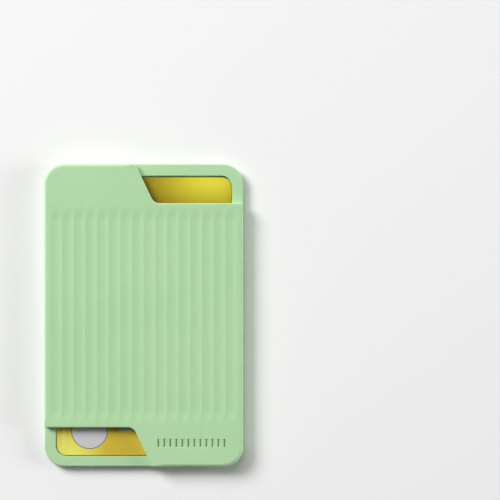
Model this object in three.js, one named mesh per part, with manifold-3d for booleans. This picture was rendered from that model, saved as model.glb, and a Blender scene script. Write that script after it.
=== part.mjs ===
// A stick-on card holder for the back of a phone. One moulded silicone body makes a shallow
// tray with a raised rim and a fluted band across its front, which leaves a window at the top
// right and at the bottom left. A sheet of double-sided adhesive and its release liner cover
// the back, and a card lies in the pocket.
// Units are millimetres. The holder lies on its back: +X is its right, +Y its top and +Z its
// front. The origin is the centre of the liner's underside.

import * as THREE from "three";
import { mergeVertices } from "three/addons/utils/BufferGeometryUtils.js";
import Module from "manifold-3d";

const wasm = await Module();
wasm.setup();

// Card, of the usual payment card size
const CARD_WIDTH = 53.98;
const CARD_LENGTH = 85.6;
const CARD_THICKNESS = 0.8;
const CARD_RADIUS = 3.18;

// Room that the pocket leaves at either side of the card, past its two ends and over its face
const SIDE_PLAY = 0.15;
const FOOT_PLAY = 0.25;
const HEAD_PLAY = 0.55;
const CARD_HEADROOM = 0.4;

// Silicone body
const SIDE_RIM = 3.45;
const FOOT_RIM = 3.2;
const HEAD_RIM = 3.6;
const BODY_RADIUS = 6.2;
const BACK_WALL = 1.0;
const FRONT_WALL = 2.2;
const EDGE_ROUND = 1.0;
const LIP_ROUND = 0.4;

// Windows, measured from the body's end and side edges to the band's edges
const WINDOW_DEPTH = 12.1;
const WINDOW_REACH = 33.2;
const WINDOW_SLANT_DEG = 25.5;
const WINDOW_RADIUS = 2.8;
const BAND_CORNER_RADIUS = 1.0;

// Flutes along the band
const FLUTE_COUNT = 16;
const FLUTE_DEPTH = 0.32;
const FLUTE_LAND = 0.25;
const FLUTE_SIDE_MARGIN = 1.9;
const FLUTE_END_MARGIN = 0.9;
const FLUTE_RUNOUT = 4.4;

// A row of small sunk bars at the bottom right of the band
const MARK_COUNT = 12;
const MARK_ROW_LENGTH = 20.9;
const MARK_HEIGHT = 2.6;
const MARK_WIDTH = 0.6;
const MARK_RADIUS = 0.25;
const MARK_DEPTH = 0.2;
const MARK_SIDE_MARGIN = 5.4;
const MARK_RISE = 7.3;

// Adhesive and liner, cut to one outline that stays on the flat of the back
const ADHESIVE_MARGIN = 0.5;
const ADHESIVE_THICKNESS = 0.4;
const LINER_THICKNESS = 0.1;

// How far a cutter stands clear of the face that it cuts
const CUT_CLEARANCE = 0.2;

// Facets in half of a corner's arc, in a rounded edge and around a flute's cutter
const ARC_SEGMENTS = 5;
const ROUND_SEGMENTS = 4;
const FLUTE_SEGMENTS = 60;

// Widths and lengths that follow
const pocketWidth = CARD_WIDTH + 2 * SIDE_PLAY;
const pocketLength = CARD_LENGTH + FOOT_PLAY + HEAD_PLAY;
const bodyWidth = pocketWidth + 2 * SIDE_RIM;
const bodyLength = pocketLength + FOOT_RIM + HEAD_RIM;
const pocketMiddle = (FOOT_RIM - HEAD_RIM) / 2;
const cardMiddle = pocketMiddle + (FOOT_PLAY - HEAD_PLAY) / 2;
const backMargin = EDGE_ROUND + ADHESIVE_MARGIN;

// Heights that follow, from the liner's underside up
const adhesiveBottom = LINER_THICKNESS;
const bodyBottom = adhesiveBottom + ADHESIVE_THICKNESS;
const pocketFloor = bodyBottom + BACK_WALL;
const cardTop = pocketFloor + CARD_THICKNESS;
const rimTop = cardTop + CARD_HEADROOM;
const bandTop = rimTop + FRONT_WALL;

// A closed outline with an arc at each corner. The corners go round counter-clockwise, and
// each is [x, y, radius].
function roundedOutline(corners) {
  const outline = new THREE.Shape();
  corners.forEach(([x, y, radius], i) => {
    const corner = new THREE.Vector2(x, y);
    const before = corners[(i + corners.length - 1) % corners.length];
    const after = corners[(i + 1) % corners.length];
    const back = new THREE.Vector2(before[0], before[1]).sub(corner).normalize();
    const ahead = new THREE.Vector2(after[0], after[1]).sub(corner).normalize();
    const halfAngle = Math.acos(back.dot(ahead)) / 2;
    const toCentre = back.clone().add(ahead).setLength(radius / Math.sin(halfAngle));
    const centre = corner.clone().add(toCentre);
    const tangent = radius / Math.tan(halfAngle);
    const start = corner.clone().addScaledVector(back, tangent).sub(centre);
    const end = corner.clone().addScaledVector(ahead, tangent).sub(centre);
    const turnsIn = back.cross(ahead) > 0;
    outline.absarc(centre.x, centre.y, radius, start.angle(), end.angle(), turnsIn);
  });
  outline.closePath();
  return outline;
}

// A rectangle about the origin with rounded corners.
function roundedRectangle(width, length, radius) {
  const x = width / 2;
  const y = length / 2;
  return roundedOutline([
    [x, -y, radius],
    [x, y, radius],
    [-x, y, radius],
    [-x, -y, radius],
  ]);
}

// The band's outline: the body's own, less a window at the top right and, turned half round,
// one at the bottom left.
function bandOutline() {
  const side = bodyWidth / 2;
  const end = bodyLength / 2;
  const edge = end - WINDOW_DEPTH;
  const head = side - WINDOW_REACH;
  const foot = head + WINDOW_DEPTH * Math.tan(THREE.MathUtils.degToRad(WINDOW_SLANT_DEG));
  const upperHalf = [
    [side, edge, BAND_CORNER_RADIUS],
    [foot, edge, WINDOW_RADIUS],
    [head, end, BAND_CORNER_RADIUS],
    [-side, end, BODY_RADIUS],
  ];
  const lowerHalf = upperHalf.map(([x, y, radius]) => [-x, -y, radius]);
  return roundedOutline([...upperHalf, ...lowerHalf]);
}

// The geometry of an outline that stands from one height to another, with both of its rims
// rounded inwards.
function prism(outline, bottom, top, round = 0) {
  const geometry = new THREE.ExtrudeGeometry(outline, {
    depth: top - bottom - 2 * round,
    curveSegments: ARC_SEGMENTS,
    bevelEnabled: round > 0,
    bevelThickness: round,
    bevelSize: round,
    bevelOffset: -round,
    bevelSegments: ROUND_SEGMENTS,
  });
  return geometry.translate(0, 0, bottom + round);
}

// The geometry of one flute's cutter: a spindle that lies along Y above the band and dips
// into its top. It tapers over the run-out at each end, and on until it is clear of the band.
function fluteCutter(width, halfLength) {
  const radius = (width ** 2 / 4 + FLUTE_DEPTH ** 2) / (2 * FLUTE_DEPTH);
  const taper = FLUTE_DEPTH + CUT_CLEARANCE;
  const fullEnd = halfLength - FLUTE_RUNOUT;
  const clearEnd = fullEnd + (FLUTE_RUNOUT * taper) / FLUTE_DEPTH;
  const profile = [
    new THREE.Vector2(0, -clearEnd),
    new THREE.Vector2(radius - taper, -clearEnd),
    new THREE.Vector2(radius, -fullEnd),
    new THREE.Vector2(radius, fullEnd),
    new THREE.Vector2(radius - taper, clearEnd),
    new THREE.Vector2(0, clearEnd),
  ];
  const geometry = new THREE.LatheGeometry(profile, FLUTE_SEGMENTS);
  return geometry.translate(0, 0, bandTop + radius - FLUTE_DEPTH);
}

// A closed geometry as a solid that can be joined and cut.
function solid(geometry) {
  geometry.deleteAttribute("normal");
  geometry.deleteAttribute("uv");
  const merged = mergeVertices(geometry);
  return new wasm.Manifold(
    new wasm.Mesh({
      numProp: 3,
      vertProperties: merged.attributes.position.array,
      triVerts: new Uint32Array(merged.index.array),
    }),
  );
}

// A solid as a geometry with flat facets.
function facetedGeometry(manifold) {
  const { vertProperties, triVerts } = manifold.getMesh();
  const indexed = new THREE.BufferGeometry();
  indexed.setAttribute("position", new THREE.BufferAttribute(vertProperties, 3));
  indexed.setIndex(new THREE.BufferAttribute(triVerts, 1));
  const geometry = indexed.toNonIndexed();
  geometry.computeVertexNormals();
  return geometry;
}

// The flutes lie side by side over the part of the band that runs from side to side.
function cutFlutes(body) {
  const pitch = (bodyWidth - 2 * FLUTE_SIDE_MARGIN) / FLUTE_COUNT;
  const halfLength = bodyLength / 2 - WINDOW_DEPTH - FLUTE_END_MARGIN;
  const firstX = (-pitch * (FLUTE_COUNT - 1)) / 2;
  const cutter = solid(fluteCutter(pitch - FLUTE_LAND, halfLength));
  for (let i = 0; i < FLUTE_COUNT; i++) {
    body = body.subtract(cutter.translate(firstX + i * pitch, 0, 0));
  }
  return body;
}

// The bars stand in a row, which ends a margin short of the body's right side.
function cutMark(body) {
  const pitch = (MARK_ROW_LENGTH - MARK_WIDTH) / (MARK_COUNT - 1);
  const firstX = bodyWidth / 2 - MARK_SIDE_MARGIN - MARK_ROW_LENGTH + MARK_WIDTH / 2;
  const y = MARK_RISE - bodyLength / 2;
  const bar = roundedRectangle(MARK_WIDTH, MARK_HEIGHT, MARK_RADIUS);
  const cutter = solid(prism(bar, bandTop - MARK_DEPTH, bandTop + CUT_CLEARANCE));
  for (let i = 0; i < MARK_COUNT; i++) {
    body = body.subtract(cutter.translate(firstX + i * pitch, y, 0));
  }
  return body;
}

// The body: tray and band as one piece, rounded along its outer edges and hollowed for the
// card. The pocket's ceiling is level with the rim, so each window opens straight into it.
function bodyGeometry() {
  const outline = roundedRectangle(bodyWidth, bodyLength, BODY_RADIUS);
  const block = solid(prism(outline, bodyBottom, bandTop, EDGE_ROUND));
  const tray = solid(prism(outline, bodyBottom, rimTop, LIP_ROUND));
  const band = solid(prism(bandOutline(), pocketFloor, bandTop, LIP_ROUND));
  const pocketOutline = roundedRectangle(pocketWidth, pocketLength, CARD_RADIUS);
  const pocket = solid(prism(pocketOutline, pocketFloor, rimTop)).translate(0, pocketMiddle, 0);
  const body = tray.add(band).intersect(block).subtract(pocket);
  return facetedGeometry(cutMark(cutFlutes(body)));
}

// Adhesive and liner share the outline of the back, less the rounded edge and a margin.
function backSheetGeometry(bottom, top) {
  const width = bodyWidth - 2 * backMargin;
  const length = bodyLength - 2 * backMargin;
  return prism(roundedRectangle(width, length, BODY_RADIUS - backMargin), bottom, top);
}

function cardGeometry() {
  const outline = roundedRectangle(CARD_WIDTH, CARD_LENGTH, CARD_RADIUS);
  return prism(outline, pocketFloor, cardTop).translate(0, cardMiddle, 0);
}

const silicone = new THREE.MeshStandardMaterial({
  color: 0xb4d9a8,
  roughness: 0.6,
  metalness: 0,
});
const adhesive = new THREE.MeshStandardMaterial({
  color: 0xeaeaea,
  roughness: 0.35,
  metalness: 0,
});
const silverFilm = new THREE.MeshStandardMaterial({
  color: 0xc8c8ca,
  roughness: 0.3,
  metalness: 0.8,
});
const cardPlastic = new THREE.MeshStandardMaterial({
  color: 0xd6c23c,
  roughness: 0.25,
  metalness: 0,
});

function piece(name, geometry, material) {
  const mesh = new THREE.Mesh(geometry, material);
  mesh.name = name;
  return mesh;
}

const holder = new THREE.Group();
holder.add(
  piece("pocket_body", bodyGeometry(), silicone),
  piece("card", cardGeometry(), cardPlastic),
  piece("adhesive_sheet", backSheetGeometry(adhesiveBottom, bodyBottom), adhesive),
  piece("release_liner", backSheetGeometry(0, adhesiveBottom), silverFilm),
);

export default holder;
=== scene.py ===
# A stick-on card holder for the back of a phone, lying on its back with a card in its pocket.
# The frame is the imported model's: metres, +X right, +Y to the holder's top, +Z out of its front.
# Meshes are worked out in millimetres and scaled once, when each one is made.

import math

import bpy
from mathutils.geometry import delaunay_2d_cdt
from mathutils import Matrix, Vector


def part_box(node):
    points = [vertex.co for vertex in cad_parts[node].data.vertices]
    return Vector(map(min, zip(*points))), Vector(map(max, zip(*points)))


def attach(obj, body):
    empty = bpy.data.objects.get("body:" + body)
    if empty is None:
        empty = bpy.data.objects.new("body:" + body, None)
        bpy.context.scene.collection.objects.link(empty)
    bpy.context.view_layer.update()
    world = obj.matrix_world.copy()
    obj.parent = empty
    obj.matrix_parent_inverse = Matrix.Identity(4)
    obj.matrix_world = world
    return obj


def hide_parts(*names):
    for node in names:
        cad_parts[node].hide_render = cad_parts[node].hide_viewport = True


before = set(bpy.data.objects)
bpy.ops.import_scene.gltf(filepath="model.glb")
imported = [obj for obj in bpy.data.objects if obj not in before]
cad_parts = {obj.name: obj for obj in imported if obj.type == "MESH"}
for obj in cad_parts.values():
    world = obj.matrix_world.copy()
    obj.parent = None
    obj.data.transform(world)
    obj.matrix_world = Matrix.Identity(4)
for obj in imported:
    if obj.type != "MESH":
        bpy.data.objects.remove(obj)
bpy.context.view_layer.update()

MM = 0.001

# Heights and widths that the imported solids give, in millimetres
body_low, body_high = (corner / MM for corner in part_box("pocket_body"))
card_low, card_high = (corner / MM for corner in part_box("card"))
film_low, film_high = (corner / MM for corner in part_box("adhesive_sheet"))
liner_low, liner_high = (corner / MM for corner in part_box("release_liner"))
SIDE = body_high.x
END = body_high.y
BODY_BOTTOM = body_low.z
BAND_TOP = body_high.z
POCKET_FLOOR = card_low.z

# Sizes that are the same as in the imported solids, in millimetres
FRONT_WALL = 2.2
SIDE_PLAY = 0.15
FOOT_PLAY = 0.25
HEAD_PLAY = 0.55
CARD_RADIUS = 3.18
BODY_RADIUS = 6.2
BACK_SHEET_RADIUS = 4.7
EDGE_ROUND = 1.0
LIP_ROUND = 0.4
WINDOW_DEPTH = 12.1
WINDOW_REACH = 33.2
WINDOW_SLANT = math.radians(25.5)
WINDOW_RADIUS = 2.8
BAND_CORNER_RADIUS = 1.0
FLUTE_COUNT = 16
FLUTE_DEPTH = 0.32
FLUTE_SIDE_MARGIN = 1.9
FLUTE_END_MARGIN = 0.9
FLUTE_RUNOUT = 4.4
MARK_COUNT = 12
MARK_ROW_LENGTH = 20.9
MARK_HEIGHT = 2.6
MARK_WIDTH = 0.6
MARK_RADIUS = 0.25
MARK_DEPTH = 0.2
MARK_SIDE_MARGIN = 5.4
MARK_RISE = 7.3

# Finer forms that only this script adds, in millimetres
RIDGE_ROUND = 0.14
POCKET_LIP_ROUND = 0.12
MARK_LIP_ROUND = 0.08
CARD_EDGE_ROUND = 0.12
SHEET_EDGE_ROUND = 0.03
ROUND_CHANGE = 3.0
ROUND_FADE = 1.6
SUPPORT = 0.12

# The card's print and its painted highlights, measured from its lower left corner, in millimetres.
# The upper painted highlight is measured from the right side, and is as many times longer across
# as it is high.
DISC_FROM_SIDE = 10.2
DISC_FROM_END = 7.55
DISC_RADIUS = 5.6
STROKES_FROM_SIDE = 1.9
STROKES_FROM_END = 2.0
STROKES_HEIGHT = 7.8
STROKE_LENGTH = 0.8
STROKE_PITCH = 0.95
BAR_FROM_SIDE = 19.2
BAR_FROM_END = 7.25
BAR_LENGTH = 3.9
BAR_HEIGHT = 1.6
LOW_HIGHLIGHT_FROM_SIDE = 5.0
LOW_HIGHLIGHT_REACH = 12.0
HIGH_HIGHLIGHT_FROM_SIDE = 6.0
HIGH_HIGHLIGHT_REACH = 27.0
HIGH_HIGHLIGHT_SQUEEZE = 2.0
PRINT_SOFTNESS = 0.12

# Steps along lines and arcs, in millimetres
LINE_STEP = 1.5
POCKET_STEP = 0.4
FADE_STEP = ROUND_FADE / 8
ARC_STEP = 0.3
FINE_ARC_STEP = 0.09

# Steps across one half of a flute, as distances from its ridge in millimetres
RIDGE_STEPS = [0, 0.05, 0.11, 0.19, 0.32, 0.55, 0.85, 1.2, 1.5]

# Rings in a rounded edge, the fewest steps in an arc, and a flute's steps along its length
EDGE_RINGS = 8
LIP_RINGS = 5
FEWEST_ARC_STEPS = 6
RUNOUT_STEPS = 14
MIDDLE_STEPS = 8

# Decimals of a millimetre to which points are told apart, how close two points of a flat face
# may lie in millimetres, and the angle past which an edge is drawn sharp
POINT_DIGITS = 4
FLAT_TOLERANCE = 1e-5
SHARP_DEG = 40

RIM_TOP = BAND_TOP - FRONT_WALL
POCKET_SIDE = card_high.x + SIDE_PLAY
POCKET_HEAD = card_high.y + HEAD_PLAY
POCKET_FOOT = card_low.y - FOOT_PLAY
WINDOW_EDGE = END - WINDOW_DEPTH
WINDOW_HEAD = SIDE - WINDOW_REACH
WINDOW_FOOT = WINDOW_HEAD + WINDOW_DEPTH * math.tan(WINDOW_SLANT)


def smooth(share):
    """An even rise from 0 to 1 as share goes from 0 to 1, level at both ends."""
    share = min(1.0, max(0.0, share))
    return share * share * (3 - 2 * share)


class Rim:
    """One point of an outline: its place, the way out of the outline there, and the radius to
    which the edge is rounded there."""

    def __init__(self, x, y, out_x, out_y, radius=0.0):
        self.x, self.y = x, y
        self.out_x, self.out_y = out_x, out_y
        self.radius = radius

    def inset(self, distance):
        """The place that lies so far inside the outline."""
        return self.x - self.out_x * distance, self.y - self.out_y * distance

    def turned(self):
        """The point half a turn about the origin away."""
        return Rim(-self.x, -self.y, -self.out_x, -self.out_y, self.radius)


def corner_arc(before, corner, after, step):
    """The points of the arc that rounds a corner. A corner is (x, y, radius, edge radius)."""
    x, y, radius, edge_radius = corner
    back = math.atan2(before[1] - y, before[0] - x)
    ahead = math.atan2(after[1] - y, after[0] - x)
    opening = (back - ahead) % math.tau
    convex = opening < math.pi
    half = opening / 2 if convex else math.pi - opening / 2
    middle = ahead + opening / 2 if convex else ahead + opening / 2 + math.pi
    centre_x = x + radius / math.sin(half) * math.cos(middle)
    centre_y = y + radius / math.sin(half) * math.sin(middle)
    turn = math.pi - 2 * half
    steps = max(FEWEST_ARC_STEPS, math.ceil(turn * radius / step))
    sign = 1 if convex else -1
    points = []
    for i in range(steps + 1):
        angle = middle + math.pi + sign * turn * (i / steps - 0.5)
        cos, sin = math.cos(angle), math.sin(angle)
        place = centre_x + radius * cos, centre_y + radius * sin
        points.append(Rim(*place, sign * cos, sign * sin, edge_radius))
    return points


def line_between(start, end, step, also=()):
    """The points between two points of an outline, both left out. Where their edge radii
    differ, the change lies beside the one with the smaller radius. also gives places on the
    line that have to be among the points."""
    length = math.dist((start.x, start.y), (end.x, end.y))
    count = max(1, math.ceil(length / step))
    shares = {i / count for i in range(1, count)}
    shares |= {math.dist((start.x, start.y), place) / length for place in also}
    narrow, narrow_at = min((start.radius, 0), (end.radius, 1))
    wide = max(start.radius, end.radius)
    points = []
    for share in sorted(shares):
        x = start.x + (end.x - start.x) * share
        y = start.y + (end.y - start.y) * share
        change = smooth(abs(share - narrow_at) * length / ROUND_CHANGE)
        radius = narrow + (wide - narrow) * change
        points.append(Rim(x, y, end.out_x, end.out_y, radius))
    return points


def outline_sections(corners, step=LINE_STEP, arc_step=ARC_STEP, also=None):
    """The arcs of an outline's corners, and the lines that follow them. also gives, by the
    number of the corner that a line follows, places that the line has to pass."""
    also = also or {}
    count = len(corners)
    arcs = [
        corner_arc(corners[i - 1], corners[i], corners[(i + 1) % count], arc_step)
        for i in range(count)
    ]
    lines = [
        line_between(arcs[i][-1], arcs[(i + 1) % count][0], step, also.get(i, ()))
        for i in range(count)
    ]
    return arcs, lines


def joined(arcs, lines):
    """One outline from the arcs of its corners and the lines that follow them."""
    return [point for arc, line in zip(arcs, lines) for point in arc + line]


def rectangle(side, end, radius, edge_radius=0.0, step=LINE_STEP, arc_step=ARC_STEP):
    """A rectangle's outline about the origin, with rounded corners."""
    places = [(side, -end), (side, end), (-side, end), (-side, -end)]
    corners = [(x, y, radius, edge_radius) for x, y in places]
    return joined(*outline_sections(corners, step, arc_step))


def holds(outline, x, y):
    """Whether an outline, given as a list of (x, y), holds a place."""
    inside = False
    last_x, last_y = outline[-1]
    for this_x, this_y in outline:
        if (this_y > y) != (last_y > y):
            if x < this_x + (y - this_y) / (last_y - this_y) * (last_x - this_x):
                inside = not inside
        last_x, last_y = this_x, this_y
    return inside


class Shell:
    """A closed surface as it is built up. Points that lie within a ten-thousandth of a
    millimetre of each other are one vertex."""

    def __init__(self):
        self.places, self.numbers, self.faces, self.slots = [], {}, [], []

    def vertex(self, x, y, z):
        """The number of the vertex at a place, which is made if it isn't there yet."""
        key = tuple(round(value, POINT_DIGITS) for value in (x, y, z))
        if key not in self.numbers:
            self.numbers[key] = len(self.places)
            self.places.append((x, y, z))
        return self.numbers[key]

    def face(self, *places, slot=0):
        """A face with its places in turn, left out where they fall together."""
        corners = []
        for place in places:
            number = self.vertex(*place)
            if number not in corners:
                corners.append(number)
        if len(corners) > 2:
            self.faces.append(corners)
            self.slots.append(slot)

    def wall(self, lower, upper, slot=0):
        """Faces between two rings with as many points each, seen from outside."""
        for i in range(len(lower)):
            self.face(lower[i - 1], lower[i], upper[i], upper[i - 1], slot=slot)

    def walls(self, rings, slot=0):
        """Faces between each ring and the next one up."""
        for lower, upper in zip(rings, rings[1:]):
            self.wall(lower, upper, slot)

    def fill(self, loops, wanted, z, up=True, slot=0):
        """Flat faces at one height between the loops, where wanted(x, y) holds."""
        places, edges = [], []
        for loop in loops:
            first = len(places)
            places += loop
            numbers = list(range(first, len(places)))
            edges += list(zip(numbers, numbers[1:] + numbers[:1]))
        out, _, triangles, origins, _, _ = delaunay_2d_cdt(
            places, edges, [], 0, FLAT_TOLERANCE
        )
        for triangle in triangles:
            corners = [
                places[origins[i][0]] if origins[i] else tuple(out[i]) for i in triangle
            ]
            x = sum(corner[0] for corner in corners) / 3
            y = sum(corner[1] for corner in corners) / 3
            if wanted(x, y):
                ordered = corners if up else corners[::-1]
                self.face(*[(*corner, z) for corner in ordered], slot=slot)

    def build(self, name, *materials):
        """The surface as an object. Its level faces shade level up to their rounded edges."""
        mesh = bpy.data.meshes.new(name)
        scaled = [(x * MM, y * MM, z * MM) for x, y, z in self.places]
        mesh.from_pydata(scaled, [], self.faces)
        for material in materials:
            mesh.materials.append(material)
        mesh.polygons.foreach_set("material_index", self.slots)
        mesh.polygons.foreach_set("use_smooth", [True] * len(self.faces))
        mesh.set_sharp_from_angle(angle=math.radians(SHARP_DEG))
        mesh.validate()
        piece = bpy.data.objects.new(name, mesh)
        bpy.context.scene.collection.objects.link(piece)
        even = piece.modifiers.new("level_faces_shade_level", "WEIGHTED_NORMAL")
        even.mode = "FACE_AREA"
        even.weight = 100
        even.keep_sharp = True
        return piece


def at_height(points, inset, z):
    """A ring of an outline, moved in by inset, which is one distance or one for each point."""
    insets = inset if isinstance(inset, list) else [inset] * len(points)
    return [(*point.inset(distance), z) for point, distance in zip(points, insets)]


def rounded_edge(points, top, rings, radii=None, outwards=False):
    """Rings that turn a wall into a level top at the height top, from the wall up. They turn
    in over the outline, or outwards from it round the mouth of a hollow."""
    radii = radii or [point.radius for point in points]
    side = -1 if outwards else 1
    made = []
    for ring in range(rings + 1):
        angle = math.pi / 2 * ring / rings
        across, down = 1 - math.cos(angle), 1 - math.sin(angle)
        made.append(
            [
                (*point.inset(side * radius * across), top - radius * down)
                for point, radius in zip(points, radii)
            ]
        )
    return made


def flat(ring):
    """A ring as seen from above."""
    return [(x, y) for x, y, _ in ring]


# The body

def from_window_start(x, y, start_x, start_y):
    """How far a place lies into a window, past the two places where the window starts. Both
    windows are told at once, because one is the other turned half round."""
    if y < 0:
        x, y = -x, -y
    return min(x - start_x, y - start_y)


def faded(radius, distance):
    """An edge radius that starts from nothing where a window starts."""
    return radius * smooth(distance / ROUND_FADE) ** 2


def slant_crossing(end):
    """Where the slanted lip crosses the pocket's end wall, in X. end is how far that wall is
    from the body's middle."""
    return WINDOW_HEAD + (END - end) * math.tan(WINDOW_SLANT)


def band_outline():
    """The arcs and the lines of the band's outline, which passes every place where a lip
    crosses the pocket's wall."""
    upper = [
        (SIDE, WINDOW_EDGE, BAND_CORNER_RADIUS, LIP_ROUND),
        (WINDOW_FOOT, WINDOW_EDGE, WINDOW_RADIUS, LIP_ROUND),
        (WINDOW_HEAD, END, BAND_CORNER_RADIUS, LIP_ROUND),
        (-SIDE, END, BODY_RADIUS, EDGE_ROUND),
    ]
    lower = [(-x, -y, radius, edge) for x, y, radius, edge in upper]
    crossings = {}
    for turn, first, end in ((1, 0, POCKET_HEAD), (-1, 4, -POCKET_FOOT)):
        crossings[first] = [(turn * POCKET_SIDE, turn * WINDOW_EDGE)]
        crossings[first + 1] = [(turn * slant_crossing(end), turn * end)]
    return outline_sections(upper + lower, also=crossings)


def body_outline(arcs, lines):
    """The outline of the whole body. It shares the band's points wherever the band reaches
    the body's edge, and rounds the rim's edge in the windows."""
    corners, sides = outline_sections(
        [
            (SIDE, -END, BODY_RADIUS, 0.0),
            (SIDE, END, BODY_RADIUS, 0.0),
            (-SIDE, END, BODY_RADIUS, 0.0),
            (-SIDE, -END, BODY_RADIUS, 0.0),
        ]
    )
    start, finish = arcs[0][0], arcs[2][-1]
    window = line_between(start, corners[1][0], FADE_STEP)
    window += corners[1]
    window += line_between(corners[1][-1], finish, FADE_STEP)
    for point in window:
        inside = from_window_start(point.x, point.y, finish.x, start.y)
        point.radius = faded(LIP_ROUND, inside)
    shared = [finish] + lines[2] + arcs[3] + lines[3] + [arcs[4][0]]
    shared = [Rim(p.x, p.y, p.out_x, p.out_y) for p in shared]
    half = window + shared
    return half + [point.turned() for point in half]


def pocket_outline():
    """The pocket's mouth. Its edge is rounded in the windows and sharp under the band."""
    places = [
        (POCKET_SIDE, POCKET_FOOT),
        (POCKET_SIDE, POCKET_HEAD),
        (-POCKET_SIDE, POCKET_HEAD),
        (-POCKET_SIDE, POCKET_FOOT),
    ]
    head_crossing, foot_crossing = slant_crossing(POCKET_HEAD), slant_crossing(-POCKET_FOOT)
    crossings = {
        0: [(POCKET_SIDE, WINDOW_EDGE)],
        1: [(head_crossing, POCKET_HEAD)],
        2: [(-POCKET_SIDE, -WINDOW_EDGE)],
        3: [(-foot_crossing, POCKET_FOOT)],
    }
    corners = [(x, y, CARD_RADIUS, 0.0) for x, y in places]
    points = joined(*outline_sections(corners, step=POCKET_STEP, also=crossings))
    for point in points:
        crossing = head_crossing if point.y > 0 else foot_crossing
        inside = from_window_start(point.x, point.y, crossing, WINDOW_EDGE)
        point.radius = faded(POCKET_LIP_ROUND, inside)
    return points


def flute_columns():
    """The places in X at which the flutes are drawn, closest together at the ridges, with
    how far each lies from its nearest ridge."""
    pitch = 2 * (SIDE - FLUTE_SIDE_MARGIN) / FLUTE_COUNT
    one = [(d, d) for d in RIDGE_STEPS] + [(pitch / 2, pitch / 2)]
    one += [(pitch - d, d) for d in reversed(RIDGE_STEPS[1:])]
    columns = []
    for flute in range(FLUTE_COUNT):
        left = FLUTE_SIDE_MARGIN - SIDE + flute * pitch
        columns += [(left + across, ridge) for across, ridge in one]
    columns.append((SIDE - FLUTE_SIDE_MARGIN, 0.0))
    return columns, pitch


def flute_rows():
    """The places in Y at which the flutes are drawn, with the share of their full depth."""
    half = WINDOW_EDGE - FLUTE_END_MARGIN
    runout = [
        (half - FLUTE_RUNOUT * i / RUNOUT_STEPS, smooth(i / RUNOUT_STEPS))
        for i in range(RUNOUT_STEPS + 1)
    ]
    middle = half - FLUTE_RUNOUT
    between = [(middle * (1 - 2 * i / MIDDLE_STEPS), 1.0) for i in range(1, MIDDLE_STEPS)]
    upper = runout + between
    lower = [(-y, depth) for y, depth in reversed(runout)]
    return (upper + lower)[::-1]


def flute_depth(ridge, pitch):
    """How deep a flute is at a distance from its ridge. The ridge itself is rounded off."""
    eased = math.hypot(ridge, RIDGE_ROUND) - RIDGE_ROUND
    widest = math.hypot(pitch / 2, RIDGE_ROUND) - RIDGE_ROUND
    return FLUTE_DEPTH * (1 - (1 - eased / widest) ** 2)


def add_flutes(shell):
    """The fluted part of the band's top. Gives the loop that it fills."""
    columns, pitch = flute_columns()
    rows = flute_rows()
    grid = [
        [(x, y, BAND_TOP - share * flute_depth(ridge, pitch)) for x, ridge in columns]
        for y, share in rows
    ]
    for lower, upper in zip(grid, grid[1:]):
        for i in range(len(columns) - 1):
            shell.face(lower[i], lower[i + 1], upper[i + 1], upper[i])
    right = [row[-1] for row in grid[1:-1]]
    left = [row[0] for row in reversed(grid[1:-1])]
    return flat(grid[0] + right + grid[-1][::-1] + left)


def add_marks(shell):
    """The row of sunk bars, whose floor is tinted. Gives the loops that they fill."""
    pitch = (MARK_ROW_LENGTH - MARK_WIDTH) / (MARK_COUNT - 1)
    first = SIDE - MARK_SIDE_MARGIN - MARK_ROW_LENGTH + MARK_WIDTH / 2
    loops = []
    for i in range(MARK_COUNT):
        bar = rectangle(MARK_WIDTH / 2, MARK_HEIGHT / 2, MARK_RADIUS, arc_step=FINE_ARC_STEP)
        for point in bar:
            point.x += first + i * pitch
            point.y += MARK_RISE - END
        floor = BAND_TOP - MARK_DEPTH
        rings = [at_height(bar, MARK_LIP_ROUND, floor)]
        rings.append(at_height(bar, 0, floor + MARK_LIP_ROUND))
        rings.append(at_height(bar, 0, BAND_TOP - MARK_LIP_ROUND))
        rings.append(at_height(bar, -MARK_LIP_ROUND / 3, BAND_TOP - MARK_LIP_ROUND / 3))
        rings.append(at_height(bar, -MARK_LIP_ROUND, BAND_TOP))
        shell.walls([ring[::-1] for ring in rings[:2]], slot=1)
        shell.walls([ring[::-1] for ring in rings[1:]])
        edge = flat(rings[0])
        shell.fill([edge], lambda x, y, edge=edge: holds(edge, x, y), floor, slot=1)
        loops.append(flat(rings[-1]))
    return loops


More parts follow.
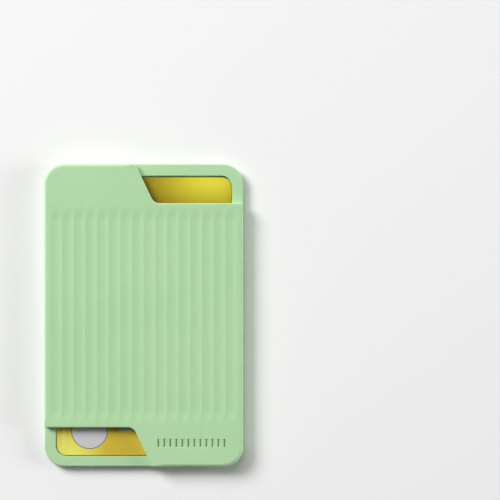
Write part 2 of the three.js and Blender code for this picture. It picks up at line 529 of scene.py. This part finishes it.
def make_body(silicone, tint):
    """The holder's body as one closed surface, with tinted floors in its sunk bars."""
    shell = Shell()
    arcs, lines = band_outline()
    band = joined(arcs, lines)
    body = body_outline(arcs, lines)
    pocket = pocket_outline()

    # Back, its rounded edge and the wall up to the rim
    under = rounded_edge(body, -BODY_BOTTOM, EDGE_RINGS, [EDGE_ROUND] * len(body))
    under = [[(x, y, -z) for x, y, z in ring] for ring in under][::-1]
    back = at_height(body, EDGE_ROUND + SUPPORT, BODY_BOTTOM)
    rim = rounded_edge(body, RIM_TOP, LIP_RINGS)
    shell.walls([back] + under + rim)
    back_edge = flat(back)
    shell.fill([back_edge], lambda x, y: holds(back_edge, x, y), BODY_BOTTOM, up=False)

    # Pocket: its walls turn out into the rim's top, and its floor is level
    mouth = rounded_edge(pocket, RIM_TOP, LIP_RINGS, outwards=True)
    floor = at_height(pocket, 0, POCKET_FLOOR)
    shell.walls([ring[::-1] for ring in [floor] + mouth])
    floor_edge = flat(floor)
    shell.fill([floor_edge], lambda x, y: holds(floor_edge, x, y), POCKET_FLOOR)

    # The level of the rim: its top in the windows, and the pocket's ceiling under the band
    rim_edge, mouth_edge = flat(rim[-1]), flat(mouth[-1])
    band_edge = [(point.x, point.y) for point in band]
    loops = [rim_edge, mouth_edge, band_edge]
    shell.fill(
        loops,
        lambda x, y: holds(rim_edge, x, y)
        and not holds(band_edge, x, y)
        and not holds(mouth_edge, x, y),
        RIM_TOP,
    )
    shell.fill(
        loops,
        lambda x, y: holds(mouth_edge, x, y) and holds(band_edge, x, y),
        RIM_TOP,
        up=False,
    )

    # The band's walls, its rounded edge and its top
    foot = at_height(band, 0, RIM_TOP)
    top = rounded_edge(band, BAND_TOP, EDGE_RINGS)
    level = at_height(band, [point.radius + SUPPORT for point in band], BAND_TOP)
    shell.walls([foot] + top + [level])
    level_edge = flat(level)
    holes = [add_flutes(shell)] + add_marks(shell)
    shell.fill(
        [level_edge] + holes,
        lambda x, y: holds(level_edge, x, y) and not any(holds(h, x, y) for h in holes),
        BAND_TOP,
    )
    return shell.build("silicone_pocket", silicone, tint)


def make_slab(name, low, high, radius, edge_round, material):
    """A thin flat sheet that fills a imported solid's box, with finer corners and edges."""
    outline = rectangle((high.x - low.x) / 2, (high.y - low.y) / 2, radius, edge_round)
    for point in outline:
        point.x += (low.x + high.x) / 2
        point.y += (low.y + high.y) / 2
    shell = Shell()
    top = rounded_edge(outline, high.z, LIP_RINGS)
    bottom = [[(x, y, high.z + low.z - z) for x, y, z in ring] for ring in top][::-1]
    shell.walls(bottom + top)
    edge = flat(top[-1])
    shell.fill([edge], lambda x, y: holds(edge, x, y), high.z)
    shell.fill([edge], lambda x, y: holds(edge, x, y), low.z, up=False)
    return shell.build(name, material)


# Materials

def srgb(red, green, blue):
    """A colour as it is seen, from 0 to 255, as the linear values that a shader takes."""
    def linear(value):
        value /= 255
        return value / 12.92 if value <= 0.04045 else ((value + 0.055) / 1.055) ** 2.4

    return (linear(red), linear(green), linear(blue), 1.0)


# Colours as they are seen. Where there are two, the material clouds or streaks between them.
SILICONE = srgb(176, 215, 165), srgb(179, 217, 168)
# A paler mint painted onto the body's rounded edges as a painted highlight
SILICONE_PAINTED_EDGE_HIGHLIGHT = srgb(192, 228, 181)
MARK_TINT = srgb(108, 146, 103), srgb(114, 152, 108)
# The card's gold darkens towards its head as a painted shade from the band over it; the two
# yellows are painted highlights at its corners
GOLD_AT_FOOT = srgb(208, 183, 60)
GOLD_PAINTED_SHADE_AT_HEAD = srgb(128, 100, 2)
LOW_PAINTED_HIGHLIGHT = srgb(232, 232, 104)
HIGH_PAINTED_HIGHLIGHT = srgb(230, 218, 62)
STROKES = srgb(240, 236, 190)
BAR = srgb(206, 204, 200)
DISC_OUTLINE = srgb(120, 108, 66)
DISC = srgb(201, 201, 202)
ADHESIVE = srgb(224, 227, 225), srgb(236, 238, 236)
SILVER = srgb(188, 188, 191), srgb(222, 222, 224)
FLOOR_PAPER = srgb(244, 244, 244)

# Waves to the metre in each material's noise, and how high its bumps are in metres
SILICONE_CLOUD = 60.0
SILICONE_GLOSS = 900.0
SILICONE_GRAIN = 5200.0
SILICONE_GRAIN_HEIGHT = 0.00003
CARD_GLOSS = 700.0
FILM_MOTTLE = 300.0
FILM_GRAIN = 1500.0
FILM_GRAIN_HEIGHT = 0.00002
LINER_STREAKS = 2600.0
LINER_STREAK_STRETCH = 50
LINER_WAVES = 28.0
LINER_WAVE_HEIGHT = 0.0004

# How strongly the card's strokes are printed
STROKE_STRENGTH = 0.45


class Nodes:
    """A new material's node tree, with short ways to add nodes to it."""

    def __init__(self, name):
        self.material = bpy.data.materials.new(name)
        self.material.use_nodes = True
        self.tree = self.material.node_tree
        self.shader = self.tree.nodes["Principled BSDF"]

    def add(self, kind, inputs=None, **settings):
        """A node of a kind, with its settings and what goes into its sockets."""
        node = self.tree.nodes.new(kind)
        for setting, value in settings.items():
            setattr(node, setting, value)
        for socket, value in (inputs or {}).items():
            self.put(node.inputs[socket], value)
        return node

    def put(self, socket, value):
        """Links a socket to another node's, or gives it a value."""
        if isinstance(value, bpy.types.NodeSocket):
            self.tree.links.new(value, socket)
        else:
            socket.default_value = value

    def set(self, **values):
        """Sets the shader's own sockets, with _ for each space in their names."""
        for name, value in values.items():
            self.put(self.shader.inputs[name.replace("_", " ")], value)

    def place(self):
        """Where a shaded point is, in the frame, in metres."""
        return self.add("ShaderNodeTexCoord").outputs["Object"]

    def distance(self, place, x, y, stretch=1.0):
        """How far a place is from a point of the frame, given in millimetres, as seen from
        above. stretch makes the way along Y count for more."""
        scale = (1, stretch, 0)
        level = self.add("ShaderNodeVectorMath", {0: place, 1: scale}, operation="MULTIPLY")
        point = (x * MM, y * MM * stretch, 0)
        between = self.add(
            "ShaderNodeVectorMath", {0: level.outputs[0], 1: point}, operation="DISTANCE"
        )
        return between.outputs["Value"]

    def noise(self, scale, detail=3.0, vector=None):
        """Soft noise in space, from 0 to 1, with so many waves to the metre."""
        node = self.add("ShaderNodeTexNoise", {"Scale": scale, "Detail": detail})
        self.put(node.inputs["Vector"], vector or self.place())
        return node.outputs["Fac"]

    def maths(self, operation, *values):
        """The result of one sum."""
        node = self.add("ShaderNodeMath", operation=operation)
        for socket, value in zip(node.inputs, values):
            self.put(socket, value)
        return node.outputs[0]

    def span(self, value, low, high, new_low, new_high, eased=False):
        """A value from low to high as one from new_low to new_high, held at both ends."""
        kind = "SMOOTHSTEP" if eased else "LINEAR"
        node = self.add("ShaderNodeMapRange", interpolation_type=kind)
        for socket, number in zip(node.inputs, (value, low, high, new_low, new_high)):
            self.put(socket, number)
        return node.outputs["Result"]

    def mix(self, share, first, second):
        """A colour that goes from the first to the second as share goes from 0 to 1."""
        node = self.add("ShaderNodeMix", data_type="RGBA")
        self.put(node.inputs["Factor"], share)
        self.put(node.inputs["A"], first)
        self.put(node.inputs["B"], second)
        return node.outputs["Result"]

    def bump(self, height, distance, strength=1.0):
        """Normals of a surface that rises by a height from 0 to 1, times a distance in metres."""
        node = self.add("ShaderNodeBump", {"Strength": strength, "Distance": distance})
        self.put(node.inputs["Height"], height)
        return node.outputs["Normal"]


def silicone_material(name, tones):
    """Matte moulded silicone: an even colour with a faint cloudiness and a fine grain. Its rounded
    edges are painted paler, a painted highlight where they catch the light."""
    nodes = Nodes(name)
    cloud = nodes.span(nodes.noise(SILICONE_CLOUD), 0.35, 0.65, 0.0, 1.0)
    grain = nodes.noise(SILICONE_GRAIN, detail=2.0)
    # Mask of the rounded edges, where the normal tilts between upright and level; the paler colour
    # there is a painted highlight
    normal = nodes.add("ShaderNodeTexCoord").outputs["Normal"]
    upright = nodes.add("ShaderNodeSeparateXYZ", {"Vector": normal}).outputs["Z"]
    turning = nodes.span(upright, 0.6, 0.85, 1.0, 0.0, eased=True)
    wall = nodes.span(upright, 0.0, 0.25, 0.0, 1.0, eased=True)
    edge = nodes.maths("MULTIPLY", turning, wall)
    nodes.set(
        Base_Color=nodes.mix(edge, nodes.mix(cloud, *tones), SILICONE_PAINTED_EDGE_HIGHLIGHT),
        Roughness=nodes.span(nodes.noise(SILICONE_GLOSS), 0.3, 0.7, 0.66, 0.78),
        Specular_IOR_Level=0.3,
        Normal=nodes.bump(grain, SILICONE_GRAIN_HEIGHT),
        Sheen_Weight=0.15,
        Sheen_Roughness=0.3,
    )
    return nodes.material


def make_materials():
    """The materials of the body, of its sunk bars' floors, of the card and of the two sheets."""
    silicone = silicone_material("silicone", SILICONE)
    tint = silicone_material("silicone_mark", MARK_TINT)
    return silicone, tint, card_material(), film_material(), liner_material()


def card_material():
    """A printed plastic card. Its gold darkens from the bottom to the top, a painted shade where
    the card lies under the band, and it has painted yellow highlights at the lower left and upper
    right corners. At the lower left it has a pale disc with a dark edge, a column of fine strokes
    and a pale bar."""
    nodes = Nodes("card_plastic")
    place = nodes.place()
    split = nodes.add("ShaderNodeSeparateXYZ", {"Vector": place})
    x, y = split.outputs["X"], split.outputs["Y"]
    left, foot = card_low.x, card_low.y
    soft = PRINT_SOFTNESS

    # Painted shade: the gold darkens towards the head, where the card lies under the band
    height = nodes.span(y, foot * MM, card_high.y * MM, 0.0, 1.0, eased=True)
    gold = nodes.mix(height, GOLD_AT_FOOT, GOLD_PAINTED_SHADE_AT_HEAD)
    # Painted highlights: pale yellow at the lower left and upper right corners
    low_highlight = nodes.distance(place, left + LOW_HIGHLIGHT_FROM_SIDE, foot)
    low_highlight = nodes.span(low_highlight, 0.0, LOW_HIGHLIGHT_REACH * MM, 1.0, 0.0, eased=True)
    ground = nodes.mix(low_highlight, gold, LOW_PAINTED_HIGHLIGHT)
    high_highlight = nodes.distance(
        place, card_high.x - HIGH_HIGHLIGHT_FROM_SIDE, card_high.y, stretch=HIGH_HIGHLIGHT_SQUEEZE
    )
    high_highlight = nodes.span(high_highlight, 0.0, HIGH_HIGHLIGHT_REACH * MM, 1.0, 0.0, eased=True)
    ground = nodes.mix(high_highlight, ground, HIGH_PAINTED_HIGHLIGHT)

    def within(value, low, high):
        """1 between two places, given in millimetres, and 0 beyond them."""
        rise = nodes.span(value, (low - soft) * MM, low * MM, 0.0, 1.0)
        fall = nodes.span(value, high * MM, (high + soft) * MM, 1.0, 0.0)
        return nodes.maths("MULTIPLY", rise, fall)

    def block(from_side, from_end, width, high):
        """1 in an upright rectangle, measured from the card's lower left corner."""
        across = within(x, left + from_side, left + from_side + width)
        up = within(y, foot + from_end, foot + from_end + high)
        return nodes.maths("MULTIPLY", across, up)

    column = block(STROKES_FROM_SIDE, STROKES_FROM_END, STROKE_LENGTH, STROKES_HEIGHT)
    wave = nodes.maths("SINE", nodes.maths("MULTIPLY", y, math.tau / (STROKE_PITCH * MM)))
    strokes = nodes.maths("MULTIPLY", column, nodes.span(wave, 0.0, 0.4, 0.0, STROKE_STRENGTH))
    printed = nodes.mix(strokes, ground, STROKES)
    bar = block(BAR_FROM_SIDE, BAR_FROM_END, BAR_LENGTH, BAR_HEIGHT)
    printed = nodes.mix(bar, printed, BAR)

    away = nodes.distance(place, left + DISC_FROM_SIDE, foot + DISC_FROM_END)
    outline = nodes.span(away, DISC_RADIUS * MM, (DISC_RADIUS + soft) * MM, 1.0, 0.0)
    inner = DISC_RADIUS - 2 * soft
    disc = nodes.span(away, inner * MM, (inner + soft) * MM, 1.0, 0.0)
    printed = nodes.mix(outline, printed, DISC_OUTLINE)
    printed = nodes.mix(disc, printed, DISC)
    nodes.set(
        Base_Color=printed,
        Roughness=nodes.span(nodes.noise(CARD_GLOSS), 0.3, 0.7, 0.44, 0.54),
        Specular_IOR_Level=0.15,
    )
    return nodes.material


def film_material():
    """Greyish white double-sided adhesive, with a faint mottle in its colour and its gloss."""
    nodes = Nodes("adhesive_film")
    mottle = nodes.span(nodes.noise(FILM_MOTTLE), 0.3, 0.7, 0.0, 1.0)
    nodes.set(
        Base_Color=nodes.mix(mottle, *ADHESIVE),
        Roughness=nodes.span(mottle, 0.0, 1.0, 0.3, 0.42),
        Normal=nodes.bump(nodes.noise(FILM_GRAIN), FILM_GRAIN_HEIGHT),
    )
    return nodes.material


def liner_material():
    """Silvered release film: drawn streaks run along it, and it lies in faint long waves."""
    nodes = Nodes("silver_film")
    place = nodes.place()
    along = (1, 1 / LINER_STREAK_STRETCH, 1)
    drawn = nodes.add("ShaderNodeVectorMath", {0: place, 1: along}, operation="MULTIPLY")
    streaks = nodes.noise(LINER_STREAKS, vector=drawn.outputs[0])
    streaks = nodes.span(streaks, 0.3, 0.7, 0.0, 1.0)
    waves = nodes.noise(LINER_WAVES, detail=1.0)
    nodes.set(
        Base_Color=nodes.mix(streaks, *SILVER),
        Metallic=0.85,
        Roughness=nodes.span(streaks, 0.0, 1.0, 0.24, 0.36),
        Normal=nodes.bump(waves, LINER_WAVE_HEIGHT, strength=0.5),
    )
    return nodes.material


# Stage

# The photograph's frame in pixels, and the holder's middle and scale in it
FRAME_PIXELS = 500
HOLDER_X_PIXELS = 143.6
HOLDER_Y_PIXELS = 315.4
PIXELS_PER_MM = 3.253
LENS_MM = 200.0
SENSOR_MM = 36.0

# The lamps' distance from the holder and their width, in metres
LAMP_DISTANCE = 2.0
LAMP_WIDTH = 1.0

# Each lamp's name, degrees round from +X, degrees up from the floor, and power in watts
LAMPS = [
    ("key", 140, 35, 42.0),
    ("top_light", 115, 60, 9.0),
    ("right_edge", 0, 12, 26.0),
    ("top_edge", 90, 8, 5.0),
]

# The strength of the fill from all round, and the floor's width in metres
FILL = 0.06
FLOOR_WIDTH = 2.4


def make_camera():
    """A long lens that looks straight down at the place in the photograph's middle."""
    width = FRAME_PIXELS / PIXELS_PER_MM * MM
    x = (FRAME_PIXELS / 2 - HOLDER_X_PIXELS) / PIXELS_PER_MM * MM
    y = (HOLDER_Y_PIXELS - FRAME_PIXELS / 2) / PIXELS_PER_MM * MM
    data = bpy.data.cameras.new("camera")
    data.lens = LENS_MM
    data.sensor_width = SENSOR_MM
    camera = bpy.data.objects.new("camera", data)
    camera.location = (x, y, BAND_TOP * MM + width * LENS_MM / SENSOR_MM)
    bpy.context.scene.collection.objects.link(camera)
    bpy.context.scene.camera = camera


def add_lamp(name, round_deg, up_deg, power):
    """A round soft box that faces the holder."""
    data = bpy.data.lights.new(name, "AREA")
    data.shape = "DISK"
    data.size = LAMP_WIDTH
    data.energy = power
    lamp = bpy.data.objects.new(name, data)
    level = LAMP_DISTANCE * math.cos(math.radians(up_deg))
    lamp.location = (
        level * math.cos(math.radians(round_deg)),
        level * math.sin(math.radians(round_deg)),
        LAMP_DISTANCE * math.sin(math.radians(up_deg)),
    )
    lamp.rotation_mode = "QUATERNION"
    lamp.rotation_quaternion = lamp.location.to_track_quat("Z", "Y")
    bpy.context.scene.collection.objects.link(lamp)


def make_stage():
    """A plain pale floor, a soft key and a top light from the upper left, low lamps that catch
    the right and top edges, and a faint even fill. The camera sees white past the floor."""
    for lamp in LAMPS:
        add_lamp(*lamp)
    world = bpy.data.worlds.new("studio")
    world.use_nodes = True
    tree = world.node_tree
    seen = tree.nodes.new("ShaderNodeLightPath").outputs["Is Camera Ray"]
    strength = tree.nodes.new("ShaderNodeMapRange")
    strength.inputs["To Min"].default_value = FILL
    strength.inputs["To Max"].default_value = 1.0
    tree.links.new(seen, strength.inputs["Value"])
    background = tree.nodes["Background"]
    background.inputs["Color"].default_value = (1, 1, 1, 1)
    tree.links.new(strength.outputs["Result"], background.inputs["Strength"])
    bpy.context.scene.world = world

    half = FLOOR_WIDTH / 2
    mesh = bpy.data.meshes.new("floor")
    corners = [(-half, -half, 0), (half, -half, 0), (half, half, 0), (-half, half, 0)]
    mesh.from_pydata(corners, [], [(0, 1, 2, 3)])
    floor = bpy.data.objects.new("floor", mesh)
    nodes = Nodes("floor_paper")
    nodes.set(Base_Color=FLOOR_PAPER, Roughness=0.9)
    mesh.materials.append(nodes.material)
    bpy.context.scene.collection.objects.link(floor)


def dress():
    """Makes each piece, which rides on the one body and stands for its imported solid."""
    silicone, tint, card_plastic, film, silver = make_materials()
    body = make_body(silicone, tint)
    card = make_slab(
        "plastic_card", card_low, card_high, CARD_RADIUS, CARD_EDGE_ROUND, card_plastic
    )
    adhesive = make_slab(
        "adhesive_film", film_low, film_high, BACK_SHEET_RADIUS, SHEET_EDGE_ROUND, film
    )
    liner = make_slab(
        "silver_liner", liner_low, liner_high, BACK_SHEET_RADIUS, SHEET_EDGE_ROUND, silver
    )
    for piece, node, slot in (
        (body, "pocket_body", "silicone"),
        (card, "card", "card_plastic"),
        (adhesive, "adhesive_sheet", "adhesive"),
        (liner, "release_liner", "liner_film"),
    ):
        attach(piece, "root")
        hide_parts(node)


make_camera()
make_stage()
dress()
bpy.context.scene.view_settings.view_transform = "Standard"
